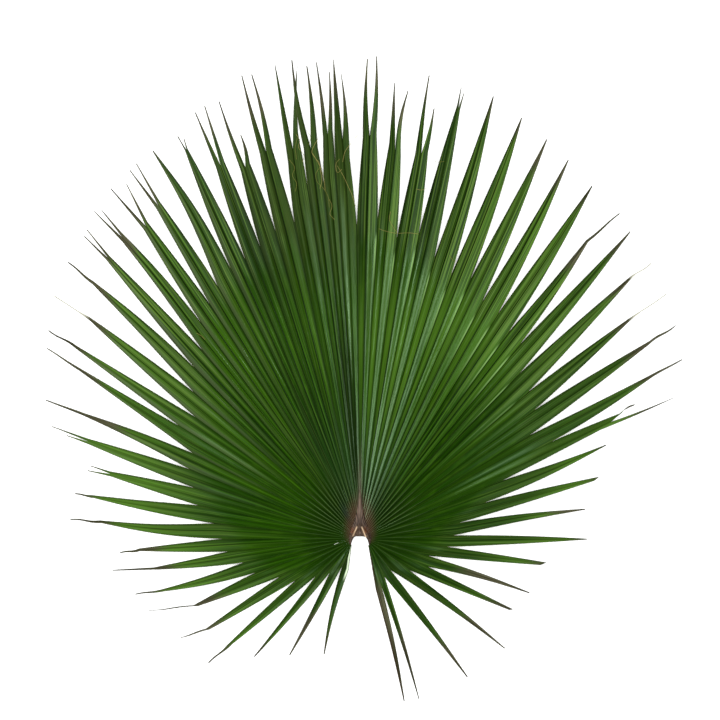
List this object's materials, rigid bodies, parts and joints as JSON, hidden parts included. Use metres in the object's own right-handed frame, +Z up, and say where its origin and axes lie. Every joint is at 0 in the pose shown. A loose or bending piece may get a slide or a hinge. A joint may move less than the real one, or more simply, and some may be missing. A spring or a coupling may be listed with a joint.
{
  "type": "fan palm leaf",
  "caption": "Fan palm leaf cut from its stalk: a round pleated blade of joined fingers with split dry tips round a brown costa and hastula, lying face up",
  "frame": {"origin": "On the floor under the hastula, where the stalk met the blade: a point of the flat spot on the costa's underside that the leaf rests on", "axes": "+Z is up, out of the leaf's upper face; +Y runs from the cut stalk along the costa to the far tip; +X is to the right seen from above"},
  "size_m": [0.9571, 0.9695, 0.0296],
  "materials": {
    "leaf_blade": "satin",
    "leaf_costa": "matte"
  },
  "bodies": {
    "root": {"blade": "leaf_blade", "costa": "leaf_costa"}
  },
  "joints": []
}
